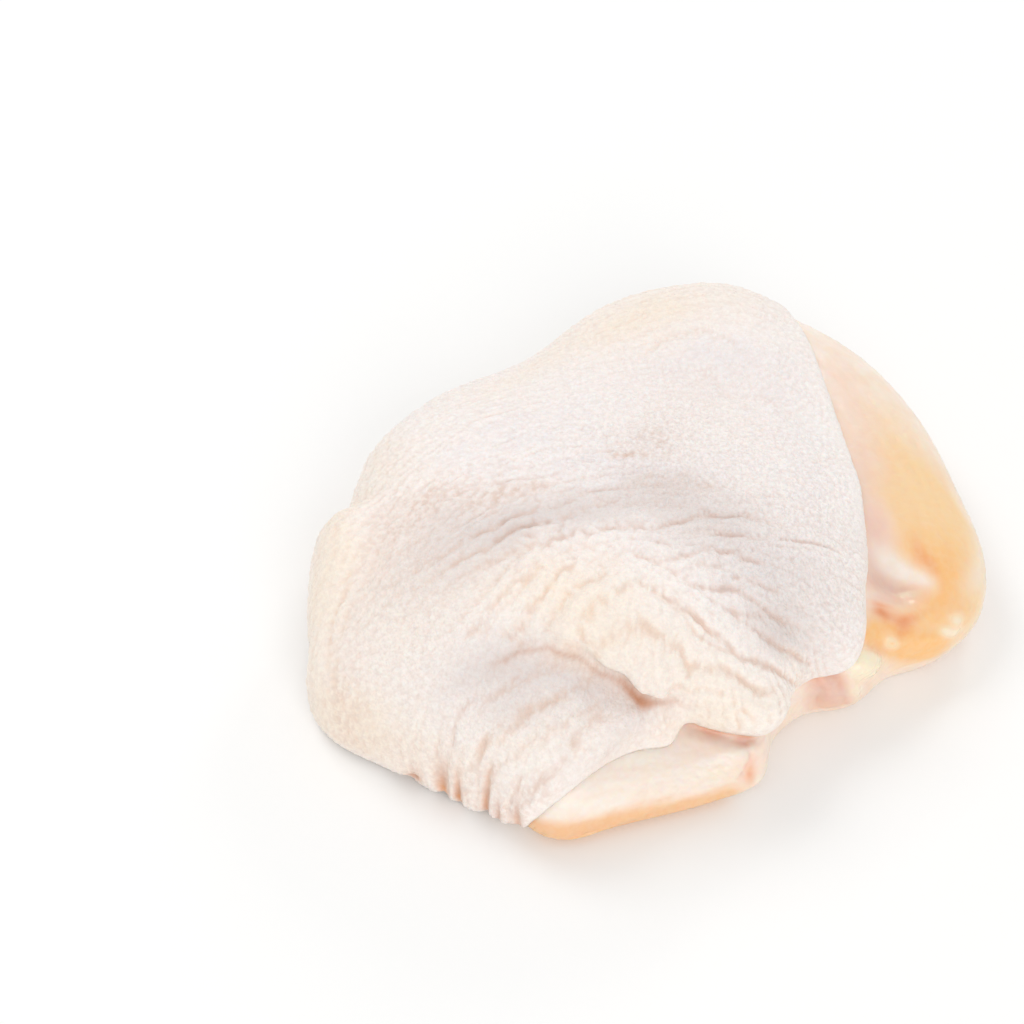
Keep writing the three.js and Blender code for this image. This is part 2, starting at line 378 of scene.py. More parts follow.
def skin_edge(angle):
    """Where the skin ends, as a share: a smooth loop, a little ragged, with a few nicks."""
    (edge,) = smooth_edge(angle)
    ragged = 0.008 * gradient_noise(angle * 9, angle * 0 + 3.5)
    ragged = ragged + 0.005 * gradient_noise(angle * 31, angle * 0)
    edge = edge + ragged * (0.3 + 0.7 * ease(0.72, 0.82, edge))
    for middle, half, depth in NICKS:
        turn = np.degrees(np.angle(np.exp(1j * (angle - math.radians(middle)))))
        edge = edge - depth * np.exp(-((turn / half) ** 2))
    return edge


edges = np.round(skin_edge(AROUND), 2)
print("the skin ends at", edges.min(), "to", edges.max(), "of the way from crown to foot")


# %% Large forms of the skin
# At the near left the skin is torn between narrow shreds: dips on the chart, with how torn each is.
# They are as deep as TORN_DEPTH times that, and the material gives them the colour of raw meat.
TORN = [
    ((-39.5, -54.5), (4.5, 1.2), 54, 1.0), ((-36.5, -57), (4.5, 0.9), 57, 1.1),
    ((-30, -58.5), (4.5, 0.8), 62, 0.9), ((-45, -51), (2.5, 1.6), 30, 0.9),
    ((-23.5, -61), (4, 0.8), 66, 0.6), ((-27.5, -60), (3, 0.6), 62, 0.6),
]
TORN_DEPTH = 1.1
SKIN_FORMS = [
    ((6, -37.5), (20, 6.5), -22, 3.2),  # the roll above the crease
    ((13, -43.5), (8, 4), -28, 1.2),  # its free edge
    ((20, -44.5), (10, 6.5), -35, 2.4),  # its tip, over the notch
    ((-2.5, -36), (6, 4), -12, 1.7),  # the round lump in its middle
    ((-13.5, -31.5), (6.5, 2.4), 42, 1.7),  # fingers that end at the crease
    ((-18.5, -28.5), (8, 2.2), 46, 1.3),
    ((-8.5, -29), (6, 2), 34, 1.1),
    ((-25, -28), (9, 2.2), 50, 1.0),
    ((-5, -45), (8, 2.4), 38, 2.1),  # a thick welt along the edge over the flap
    ((-14, -51.5), (8, 2.2), 44, 1.9),
    ((-13, -45.5), (8, 2.4), 44, 0.9),  # ridges down the near side
    ((-20, -43.5), (10, 2.4), 38, 0.8),
    ((12, 20), (6, 16), 52, -0.8),  # a shallow vein across the top
    ((27, 16), (5, 13), 50, -0.8),
    ((-15, -15), (16, 6), 5, 0.5),  # the pebbled swelling left of the middle
]
RIM_RISE = 3.8  # of the thick rim on the left


def left_rim(x, y):
    """The thick rim down the left side. It starts abruptly at its far end, as if turned over
    there, and fades towards the near corner."""
    outwards = ease(-46, -56, x + (y + 12) ** 2 / 250)
    return RIM_RISE * outwards * ease(2.5, -2.5, y) * (1 - 0.75 * ease(-16, -34, y))


# %% [markdown]
# The fold is a line on the chart with a lip above it. Across that line the lip is pushed downhill,
# most at a few millimetres above it, and it rises at the same time, so the surface goes out, round
# and back under itself: an S lying on its side.

# %% The fold
FOLD_LINE = [
    (-30, -38), (-23, -36.2), (-20, -35), (-16.7, -35), (-13.6, -35.6), (-10.5, -36), (-8, -37),
    (-5, -38.6), (-2.5, -40.2), (0, -40.6), (5, -41.5), (10, -43.5),
]
FOLD_PUSH = 2.3
FOLD_RISE = 1.5
FOLD_DEPTH = 1.5
FOLD_FADE = 6  # how soon the lip dies away uphill
FOLD_SLANT = 0.92  # the distance to the line, for one millimetre up the chart
POCKET_X = -2.2  # the crease is deepest and widest here


def fold(x, y):
    """How far the lip is pushed downhill, how far it rises, and how much painted shade darkens the
    crease, at a place on the chart. With d as the distance above the line: the push grows from 0 to its
    full size over 2.5 mm and dies away past 3 mm, and the rise follows a little later. The crease dips
    below it."""
    line_x, line_y = np.array(FOLD_LINE, float).T
    uneven = gradient_noise(x / 3.5, y / 9 + 50)
    d = (y - np.interp(x, line_x, line_y)) * FOLD_SLANT + 0.7 * uneven
    lip = ease(-25, -15, x) * ease(9, -3, x) * (0.8 + 0.35 * uneven) * (0.6 + 0.8 * ease(-12, -5, x))
    fade = np.exp(-((np.maximum(d - 3, 0) / FOLD_FADE) ** 2))
    push = FOLD_PUSH * ease(0, 2.5, d) * fade
    rise = FOLD_RISE * ease(0.3, 3, d) * fade
    dip = -FOLD_DEPTH * (1 - ease(0, 1.6, d)) * np.exp(-((np.minimum(d, 0) / 3) ** 2))
    crease = ease(-29, -21, x) * ease(8, 1, x)
    pocket = np.exp(-(((x - POCKET_X) / 2.7) ** 2))
    width = 0.4 + 0.5 * pocket
    # painted shade: a dark band just under the lip, widest and darkest in the pocket
    shade = crease * np.exp(-(((d + 0.5 + 0.5 * lip) / width) ** 2)) * (0.4 + 0.6 * pocket)
    return lip * push, lip * rise + crease * (0.6 + 0.9 * pocket) * dip, shade


# %% [markdown]
# A crease is a line drawn on the chart. The surface dips along it, sharply in the middle, and swells
# a little on both sides, because the skin that a crease takes in has to come from somewhere. The
# dip grows and dies away along the line, so that no crease starts or stops at once.

# %% Creases
# depth, half width, and the places on the chart that the line passes through
CREASES = [
    # across the right
    (1.05, 1.0, [(-8.4, -15.2), (-1.2, -15.6), (4.6, -14.6), (10.7, -12.6), (17.9, -11.9), (25, -13)]),
    (0.65, 0.9, [(0.4, -18.9), (7.6, -17.8), (17.9, -16.5), (27.7, -15.8), (37, -13.5)]),
    (0.85, 0.9, [(-3, -22), (1.9, -22.8), (9.2, -20.9), (16.8, -21.3), (22, -22.8)]),
    (0.5, 0.8, [(0.5, -23.6), (4.5, -24.8), (10.5, -23.3)]),
    (1.0, 0.9, [(3.5, -25.2), (8.5, -27.3), (11.2, -27.6), (17.5, -27.4)]),
    (0.7, 0.9, [(11.5, -23.2), (15.6, -25.7), (25.5, -27)]),
    # down to the right
    (0.8, 0.9, [(12.5, -27.2), (16.3, -28.7), (22.5, -31), (30, -33.4)]),
    (0.5, 0.7, [(10.5, -29.4), (15.9, -31.5), (25.5, -32)]),
    (1.0, 0.9, [(13.5, -31.3), (21, -35.2), (25.9, -36.8), (34.5, -38.5)]),
    (
        1.6, 1.0,
        [(-3, -26.3), (2.9, -29.8), (6.4, -32), (9.5, -34), (15.2, -37), (25, -41.5), (37, -45)],
    ),
    # round the lump, and on the roll
    (
        1.4, 1.2,
        [(-9.8, -35), (-8.5, -32.6), (-5.6, -32), (-2.5, -32.4), (1.5, -34), (5, -36.8), (5.5, -39)],
    ),
    (0.8, 1.0, [(-1, -40.5), (3.7, -39.4), (7.6, -38.3), (16, -40.3), (24, -43)]),
    (0.8, 1.0, [(1, -31), (6, -34), (11, -37.5), (18, -41.5), (24, -44.5)]),
    # between the fingers
    (1.4, 1.5, [(-23, -34.5), (-20.5, -31), (-18, -28.3), (-14.9, -24.5), (-12, -22)]),
    (1.1, 1.4, [(-17.2, -33.6), (-16, -31), (-13.9, -28.6), (-10, -26.4), (-6.5, -24.5)]),
    (1.1, 1.5, [(-29, -33), (-26, -29), (-22.5, -25.5), (-18, -22)]),
    (1.2, 1.3, [(-11.6, -34.2), (-10.5, -31), (-7.5, -29), (-3, -28)]),
    # down the near side
    (0.8, 1.3, [(-17.7, -41.9), (-21.3, -44.2), (-24.6, -46), (-28.1, -49.1), (-32, -53)]),
    (0.8, 1.6, [(-14, -41.5), (-19.8, -45.4), (-22.9, -48), (-27, -52.2), (-29.5, -57)]),
    (1.4, 1.7, [(-8.5, -42.5), (-11.9, -46.1), (-13.9, -48.7), (-16.5, -52.9), (-21, -58)]),
    (0.5, 1.2, [(-20, -38.5), (-24.5, -41.9), (-29.7, -42.8), (-34, -46.5)]),
    # up from the torn places
    (0.5, 0.9, [(-34, -43), (-37, -48.5), (-41, -55)]),
    (0.6, 0.9, [(-32, -45), (-36, -51.5), (-40, -58)]),
    (0.6, 1.0, [(-27, -47.5), (-29.5, -53), (-33, -61)]),
    (0.6, 0.9, [(-20.5, -53), (-24, -59), (-27, -64)]),
    # inside the left rim
    (0.4, 0.8, [(-50.6, -15), (-51.1, -18.8), (-51.3, -23.1), (-50.4, -28)]),
    (0.3, 0.7, [(-48.5, -20.5), (-49, -26), (-51.2, -33)]),
    # over two veins
    (0.29, 1.6, [(11.5, 27), (14.6, 21.6), (20.7, 16.3)]),
    (0.29, 1.6, [(21, 21.5), (26.3, 17.2), (32, 12)]),
    (0.36, 1.0, [(1, 31), (6.9, 34.4), (12, 35), (19, 31)]),
]
ROUND_BOTTOM = 0.35  # how rounded the bottom of a crease is, in half widths
print("there are", len(CREASES), "creases in the skin")


def line_distance(points, x, y):
    """The distance to a smooth line through the points, and how far along it the nearest place is,
    from 0 to 1. The line is the first half of a smooth loop that goes there and comes back."""
    p = np.asarray(points, float)
    there_and_back = np.concatenate([p, p[-2:0:-1]]) if len(p) > 2 else p
    curve = smooth_loop(there_and_back, 6)[: 6 * (len(p) - 1) + 1]
    best = np.full(x.shape, 1e9)
    along = np.zeros(x.shape)
    steps = len(curve) - 1
    for k, (a, b) in enumerate(zip(curve, curve[1:])):
        forward = (x - a[0]) * (b[0] - a[0]) + (y - a[1]) * (b[1] - a[1])
        t = np.clip(forward / ((b - a) ** 2).sum(), 0, 1)
        d = np.hypot(x - a[0] - t * (b[0] - a[0]), y - a[1] - t * (b[1] - a[1]))
        along = np.where(d < best, (k + t) / steps, along)
        best = np.minimum(best, d)
    return best, along


def creased(lines, x, y):
    """The sum over the lines of -depth x taper x (sharp dip - soft swelling), with d as distance
    over half width: the dip is exp(-d) rounded at its bottom, the swelling 0.3 exp(-(d/3)^2)."""
    sway_x = x + 0.7 * gradient_noise(x / 4, y / 4 + 11)
    sway_y = y + 0.7 * gradient_noise(x / 4 + 23, y / 4)
    total = np.zeros_like(x)
    for number, (depth, half, points) in enumerate(lines):
        corners = np.array(points)
        spans = zip((x, y), corners.min(0) - 8, corners.max(0) + 8)
        close = np.all([(v > low) & (v < high) for v, low, high in spans], axis=0)
        d, along = line_distance(points, sway_x[close], sway_y[close])
        d = np.hypot(d / half, ROUND_BOTTOM) - ROUND_BOTTOM
        taper = np.clip(along * (1 - along) * 6, 0, 1) ** 0.7
        uneven = 0.85 + 0.5 * gradient_noise(along * 6 + number, along * 0 + 3 * number)
        total[close] -= depth * taper * uneven * (np.exp(-d) - 0.3 * np.exp(-((d / 3) ** 2)))
    return total


# %% [markdown]
# Between the creases the skin is gathered in rows. Each patch of rows has its own direction, and its
# rows may follow an arc. A row is a ridge between two narrow valleys, as the size of a sine draws it,
# and the ridge is beaded along its length. Noise shifts the rows, and lets some of them fade away, so
# that no two are alike.

# %% Rows of wrinkles
# centre, half widths along and across the rows, direction in degrees, how much the rows bend to the
# right (1 / radius), spacing, height, the length and depth of the beads, and how soft the valleys are
ROWS = [
    ((-40, 6), (26, 17), 42, 0.02, 2.1, 0.3, 7, 0.5, 0.2),  # the upper left
    ((-20, 1), (20, 12), 17, 0.015, 2.2, 0.36, 5, 0.6, 0.2),
    ((-49, -24), (22, 13), 81, 0, 1.7, 0.22, 6, 0.5, 0.2),  # the left
    ((-38, -32), (15, 13), 68, 0, 1.5, 0.2, 4, 0.6, 0.2),  # the near left
    ((-33, -14), (16, 8), 38, 0, 1.9, 0.4, 4, 0.6, 0.2),  # where the pebbled rows begin
    ((-3, -2), (22, 11), 8, 0, 2.0, 0.26, 3, 0.6, 0.2),  # the middle
    ((-18, -13), (16, 7), 18, 0.01, 4.2, 1.9, 6, 0.6, 0.3),  # pebbled rows left of the middle
    ((17, -17), (26, 10), -2, 0, 2.8, 0.7, 9, 0.45, 0.2),  # across the right
    ((31, 4), (20, 12), -74, 0, 1.9, 0.18, 3, 0.6, 0.2),  # the far right
    ((-24, -26), (9, 11), 46, 0, 3.4, 0.6, 4, 0.5, 0.4),  # the fingers on the left
    ((16, -31.5), (25, 7), -24, 0, 2.5, 0.5, 6, 0.5, 0.2),  # down to the right
    ((33, -37), (12, 10), -36, 0, 2.3, 0.45, 5, 0.5, 0.2),  # towards the notch
    ((11, -39), (13, 5), -30, 0, 2.4, 0.8, 4, 0.4, 0.4),  # along the roll
    ((17, -46), (5, 10), -72, 0, 2.1, 0.8, 4, 0.4, 0.2),  # across its lower edge
    ((-20, -45), (13, 8), 41, 0, 4.4, 1.4, 4, 0.35, 0.6),  # down the near side
    ((-20, -46), (13, 10), 68, 0, 1.5, 0.2, 4, 0.5, 0.2),  # the feathery texture on it
    ((-4, 34), (44, 18), 8, 0, 2.4, 0.16, 6, 0.5, 0.2),  # the far side
    ((0, 60), (60, 14), 0, 0, 3.0, 0.5, 10, 0.3, 0.2),  # under the far edge
    ((-64, 6), (40, 14), 84, 0, 2.7, 0.5, 10, 0.3, 0.2),  # under the left edge
]


def rows(x, y):
    """The sum over the patches of height x weight x fade x (ridge x bead - its mean)."""
    total = np.zeros_like(x)
    sway_x = x + 1.3 * gradient_noise(x / 7 + 40, y / 7)
    sway_y = y + 1.3 * gradient_noise(x / 7, y / 7 + 70)
    for number, (centre, halves, turn, bend, spacing, height, bead, beading, soft) in enumerate(ROWS):
        c, s = math.cos(math.radians(turn)), math.sin(math.radians(turn))
        along = (sway_x - centre[0]) * c + (sway_y - centre[1]) * s
        across = (sway_y - centre[1]) * c - (sway_x - centre[0]) * s
        weight = np.exp(-((along / halves[0]) ** 2) - (across / halves[1]) ** 2)
        across = across + bend * along**2 / 2
        shift = gradient_noise(along / (4 * spacing) + 17 * number, across / (2 * spacing) + 5 * number)
        phase = across / spacing + 0.9 * shift
        lot = seeds[np.floor(phase).astype(int) % TABLE, number, 0]
        ridge = np.hypot(np.sin(np.pi * phase), soft) - soft
        bead_phase = along / bead + 7 * lot + 0.6 * gradient_noise(along / 3, across / 3)
        beads = np.abs(np.sin(np.pi * bead_phase))
        fade = gradient_noise(along / (4 * spacing) + 60, phase / 1.7 + 9 * number)
        fade = 0.3 + 0.7 * ease(-0.35, 0.25, fade)
        total += height * weight * fade * (ridge * (1 - beading + beading * beads) - 0.35)
    return total


# %% Bumps
BUMP_SIZES = [(2.2, 0.55), (1.3, 0.26)]  # spacing and height
# where the large bumps stand out most
BUMPY = [
    ((-18, -15), (15, 8), 5, 0.9), ((-15, -27), (15, 6), 35, 0.4), ((8, -37), (18, 6), -24, 0.6),
    ((-18, -47), (14, 6), 42, 0.1), ((22, -25), (18, 12), -20, 0.4),
]


def bumps(x, y, spacing):
    """Round cobbles: one at each seed, domed, and rounded off where it meets its neighbours."""
    sway = 0.35 * gradient_noise(x / 5, y / 5 + 30)
    nearest, second, lot = cell_noise(x / spacing + sway, y / spacing - sway)
    dome = np.clip(1 - nearest**2 * 1.5, 0, 1) ** 1.5 * ease(0, 0.5, second - nearest)
    return dome * (0.4 + 0.6 * lot)


def cobbled(x, y):
    """Two sizes of bumps: the large ones where the skin is bumpy, the small ones mostly elsewhere."""
    (wide, tall), (small, low) = BUMP_SIZES
    strong = 0.12 + np.minimum(relief(BUMPY, x, y), 1)
    return tall * strong * bumps(x, y, wide) + low * (1.2 - 0.7 * strong) * bumps(x + 7, y, small)


# %% [markdown]
# What lies lower than its surroundings is coloured darker and warmer. The warmth is partly its own
# colour, where moisture and blood collect, and the darkening is painted shade. The depth is measured as
# the difference between the height and its own local mean.


# %% How sunken a place is
def local_mean(field, reach):
    """The mean over a square of cells, by running sums along both directions of the grid."""
    for axis in (0, 1):
        edge = [(reach + 1, reach) if a == axis else (0, 0) for a in (0, 1)]
        sums = np.cumsum(np.pad(field, edge, mode="edge"), axis=axis)
        width = 2 * reach + 1
        ahead = np.take(sums, np.arange(width, sums.shape[axis]), axis=axis)
        behind = np.take(sums, np.arange(0, sums.shape[axis] - width), axis=axis)
        field = (ahead - behind) / width
    return field


def sunken(height, reach, full):
    """0 where a place is level with its surroundings or above them, 1 where it is full mm lower."""
    return np.clip((local_mean(local_mean(height, reach), reach) - height) / full, 0, 1)


# %% [markdown]
# ## Where the skin changes colour
#
# The skin is thin, so what lies under it shows through: yellow fat, violet-grey muscle and a few
# spots of blood. Each tint is a list of soft patches on the chart, with its edges broken up by noise.
# A patch is not painted here. It becomes a mask on the points, and the material mixes the colours.

# %% Tints of the skin
# Grainy isn't a colour: it says where the pores stand out.
TINTS = {
    "lilac": [
        ((14, 29), (11, 6), 0, 0.8), ((24, 21), (8, 9), 40, 0.4), ((-22, 11), (22, 8), 25, 0.7),
        ((-2, -3), (20, 10), 0, 0.9), ((21, -23), (13, 8), -25, 0.9), ((29, 1), (8, 15), 0, 0.5),
        ((-17, -42), (12, 5), 25, 0.8), ((-34, -30), (8, 16), 70, 0.35),
        ((-3, -46.5), (7, 3), -10, 0.5), ((-28, -52), (6, 4), 40, 0.5),
    ],
    "yellow": [
        ((2, 42), (13, 7), 5, 1.0), ((-22, 36), (14, 5), 45, 0.5), ((-48, 10), (6, 16), 30, 0.4),
        ((-55, -12), (5, 20), 0, 0.9), ((-14, -28), (13, 7), -20, 0.9), ((10, -41), (18, 6), -25, 0.7),
        ((31, -40), (8, 5), -30, 0.4), ((-50, -39), (10, 6), -35, 1.0), ((-20, -47), (14, 6), 30, 0.5),
        ((-38, -50), (12, 5), -30, 0.4), ((-40, -22), (12, 14), 30, 0.5), ((4, -47), (12, 3), 10, 0.5),
        ((0, 60), (60, 12), 0, 0.6), ((-66, 0), (10, 50), 0, 0.5),
    ],
    "blush": [
        ((3.5, 7), (2.6, 1.6), -40, 1.4), ((-3, 3), (3.4, 1), 0, 1.1), ((4, -5.5), (5, 3), 0, 1.8),
        ((-9, -39), (9, 2), -12, 0.9), ((1, 7), (6, 4), 0, 0.35), ((12, -6), (3, 1.2), 0, 0.9),
        ((-40, -6), (8, 4), 25, 0.9), ((-30, -7), (8, 4), 10, 0.8), ((-34, -15), (10, 5), -15, 0.8),
        ((-23, -5), (6, 3), 0, 0.5),
        ((-43, -47), (9, 3), -30, 0.35), ((36, -42), (5, 4), 0, 0.4), ((-21, -57), (7, 3), 30, 0.6),
        ((-51, -36), (4, 6), -20, 0.6), ((-33, -56), (8, 3), -20, 0.5),
    ],
    "dusk": [
        ((-14, -11), (13, 4.5), 5, 0.9), ((-9, -40), (9, 3), -10, 0.7), ((27, -33), (11, 5), -18, 0.8),
        ((-5, -47), (8, 2), 38, 0.4), ((-12, -42), (13, 5), 5, 0.3), ((22, -23), (14, 5), -10, 0.5),
        ((3, -6), (9, 6), 0, 0.6), ((2, 7), (6, 5), 0, 0.2), ((-21, -42.5), (6, 3), 30, 0.5),
        ((25, -35), (7, 3), -20, 0.35), ((-35, -22), (8, 6), 0, 0.25), ((-26, -38), (9, 4), 10, 0.9),
        ((-24, -17), (8, 5), 30, 0.5), ((13, -13), (13, 6.5), 0, 0.8),
        ((-34, -12), (12, 8), 10, 0.7), ((12, 26), (18, 14), 0, 0.25),
    ],
    "grainy": [
        ((6, 4), (26, 18), 0, 1.0), ((26, -20), (20, 14), 0, 1.0), ((-20, -45), (18, 8), 20, 0.5),
        ((-38, -30), (14, 18), 0, 0.6),
    ],
}


def tint_masks(tints, x, y, sway):
    """For each tint, the sum of its patches, read through a sway of noise and clipped at 1."""
    sway_x = x + sway * gradient_noise(x / 8 + 3, y / 8)
    sway_y = y + sway * gradient_noise(x / 8, y / 8 + 9)
    return {name: np.clip(relief(forms, sway_x, sway_y), 0, 1) for name, forms in tints.items()}


# %% The skin's surface
EDGE_THINNING = 0.45  # the part of the thickness that is lost towards the free edge
LEAST_RISE = 0.5
CLEARANCE = 0.4  # between the skin and the table


def skin_share(distance, edge):
    """The share of the way from crown to foot at a distance from the middle of the skin's grid:
    in the middle all directions go out alike, and at the edge each reaches its own edge."""
    return distance * (MEAN_SHARE + (edge - MEAN_SHARE) * distance)


def skin_inside(angle, distance):
    """The skin's inner face: the mound, a small gap further out."""
    share = skin_share(distance, skin_edge(angle))
    return mound(angle, share) + SKIN_GAP * mound_normal(angle, share)


def skin_outside(angle, distance):
    """The skin's outer face and its masks: thickness, forms, fold, creases, wrinkles and bumps add
    up to the rise, which ends in a quarter of an ellipse at the edge."""
    edge = skin_edge(angle)
    share = skin_share(distance, edge)
    x, y = to_chart(angle, share)
    to_edge = (edge - share) * CHART_LENGTH
    push, fold_rise, shade = fold(x, y)
    fine = creased(CREASES, x, y) + rows(x, y) + cobbled(x, y)
    torn = np.minimum(relief(TORN, x, y), 1)
    coarse = relief(SKIN_FORMS, x, y) + left_rim(x, y) + fold_rise - TORN_DEPTH * torn
    thin_far = ease(14, 2, to_edge) * ease(-30, -10, y)
    thin_near = ease(5, 1, to_edge) * ease(-40, -30, x)
    thickness = SKIN_THICKNESS * (1 - EDGE_THINNING * np.maximum(thin_far, thin_near))
    rise = np.maximum(thickness + coarse + fine * ease(0, 3, to_edge), LEAST_RISE)
    rounding = np.sqrt(1 - (1 - np.clip(to_edge / SKIN_LIP, 0, 1)) ** 2)
    pushed_angle, pushed_share = from_chart(x, y - push * ease(0, 5, to_edge))
    normal = mound_normal(pushed_angle, pushed_share)
    surface = mound(pushed_angle, pushed_share) + (SKIN_GAP + rounding * rise)[..., None] * normal
    surface[..., 2] = np.maximum(surface[..., 2], CLEARANCE)
    masks = tint_masks(TINTS, x, y, 3)
    streaks = gradient_noise((x + 1.7 * y) / 10, (y - 1.7 * x) / 3)
    masks["blush"] *= 0.35 + 0.65 * ease(-0.3, 0.3, streaks)
    # the valley mask carries painted shade: the finish darkens and warms the skin where it lies lower
    # than around it
    narrow, wide, broad = sunken(fine, 2, 0.3), sunken(fine, 5, 0.9), sunken(fine + coarse, 10, 2.5)
    masks["valley_tint_and_shade"] = np.clip(0.5 * narrow + 0.6 * wide + 0.8 * broad, 0, 1)
    masks["shade"] = shade
    masks["torn"] = torn
    masks["thin"] = ease(2.5, 0, to_edge)
    return surface, masks


# %% Make the skin
SKIN_GRID = 301
COARSE = 4  # cells of the outer face to one of the inner face, which never shows


def stitch(fine, coarse, fine_side, coarse_side):
    """Triangles between two square rings of points, one finer than the other. Each side is walked
    on its own: a point of the fine ring hangs on the nearest one of the coarse ring."""
    walk = np.arange(4 * fine_side)
    side, step = walk // fine_side, walk % fine_side

    def partner(side, step):
        """The coarse ring's point that lies nearest to a point of the fine ring."""
        nearest = np.clip(np.round((step / fine_side) * (coarse_side + 2) - 1), 0, coarse_side)
        return (side * coarse_side + nearest.astype(int)) % len(coarse)

    here, there = partner(side, step), partner(side, step + 1)
    following = np.roll(fine, -1)
    fans = np.stack([following, fine, coarse[here]], -1)
    turns = here != there
    gaps = np.stack([following, coarse[here], coarse[there]], -1)[turns]
    return np.concatenate([fans, gaps])


def make_skin():
    """The outer face is a fine grid, the inner one a coarse grid without its border, and a seam of
    triangles joins them all round."""
    outer, masks = skin_outside(*disc_grid(SKIN_GRID))
    core = skin_inside(*disc_grid((SKIN_GRID - 1) // COARSE + 1))[1:-1, 1:-1]
    count = len(core)
    first = SKIN_GRID**2
    under = grid_triangles(count, first)[:, ::-1]
    seam = stitch(grid_border(SKIN_GRID), grid_border(count, first), SKIN_GRID - 1, count - 1)
    points = np.concatenate([outer.reshape(-1, 3), core.reshape(-1, 3)])
    padded = {name: np.append(values.ravel(), np.zeros(count**2)) for name, values in masks.items()}
    triangles = np.concatenate([grid_triangles(SKIN_GRID), under, seam])
    return make_piece("leg_skin", points, triangles, padded)


skin = make_skin()

# %% [markdown]
# ## The shape of the meat
#
# Most of the meat is hidden. What shows is the bare muscle on the right, with a hollow in it and a
# rounder end, a small torn bit, and the thin flap in front. So the grid is fine only from just under
# the skin's edge outwards, and the relief is drawn there: hills and dips, a few creases between the
# muscles, and fibres that run round the leg, side by side.

# %% Forms of the bare meat
MEAT_DETAIL = [
    ((43, -13.5), (4.5, 4), 20, -0.8),  # the hollow
    ((47, -9.5), (4, 1.6), -30, 0.3),  # a fold of film over it
    ((53, -23), (7, 5), 25, 1.6),  # the rounder end
    ((46, -21), (4, 1.8), 15, -0.6),
    ((57, -17.3), (3, 2.2), 30, 0.8),  # lumps of fat
    ((51, -26.1), (2.2, 1.7), 0, 0.7),
    ((49, -33), (4.8, 3), 20, 1.2),
    ((46.5, -34), (3, 2.4), 10, 0.7),
    ((43, -41), (6, 3), -30, 1.4),  # the torn bit
    ((49, -39.5), (3, 2.4), 0, 0.8),
    ((40, -37.5), (7, 1.6), -28, -1.4),
    ((12, -46.5), (9, 2.2), -20, -2.4),  # a dark gap under the roll
    ((19.5, -50), (3, 1.4), -5, -1.4),
    ((-6, -56), (14, 3), 14, 0.4),  # the flap swells a little
]
MEAT_CREASES = [
    # above the rounder end, in the hollow, and beside the fat
    (0.2, 1.0, [(41, -19.6), (45, -20.4), (48, -21.2), (50.5, -19), (51.5, -15)]),
    (0.2, 0.8, [(39.5, -10.5), (42.5, -11.2), (46, -12.4)]),
    (0.25, 0.9, [(44, -29.5), (48.5, -29.6), (54, -31)]),
    # on the torn bit
    (0.6, 0.8, [(38, -39), (42, -42.5), (47, -47)]),
    (0.5, 0.7, [(42, -37.5), (46, -40), (51, -43)]),
    # across the flap's end, and its hem, which is a ridge
    (0.6, 0.7, [(19, -50), (20, -54), (18.5, -60)]),
    (-0.5, 0.8, [(17, -59), (5, -62.5), (-9, -66), (-19, -69)]),
]
FIBRE_HEIGHT = 0.05  # low enough to show only in the light that grazes it


def fibres(angle, share):
    """Ridges that run round the leg: noise that is long along the angle and narrow across it."""
    round_it, outwards = angle * 50, share * CHART_LENGTH
    sway = 2 * gradient_noise(round_it / 18, outwards / 8)
    coarse = gradient_noise(round_it / 20, (outwards + sway) / 3)
    narrow = gradient_noise(round_it / 14 + 5, (outwards + sway) / 1.6)
    return coarse + 0.5 * narrow
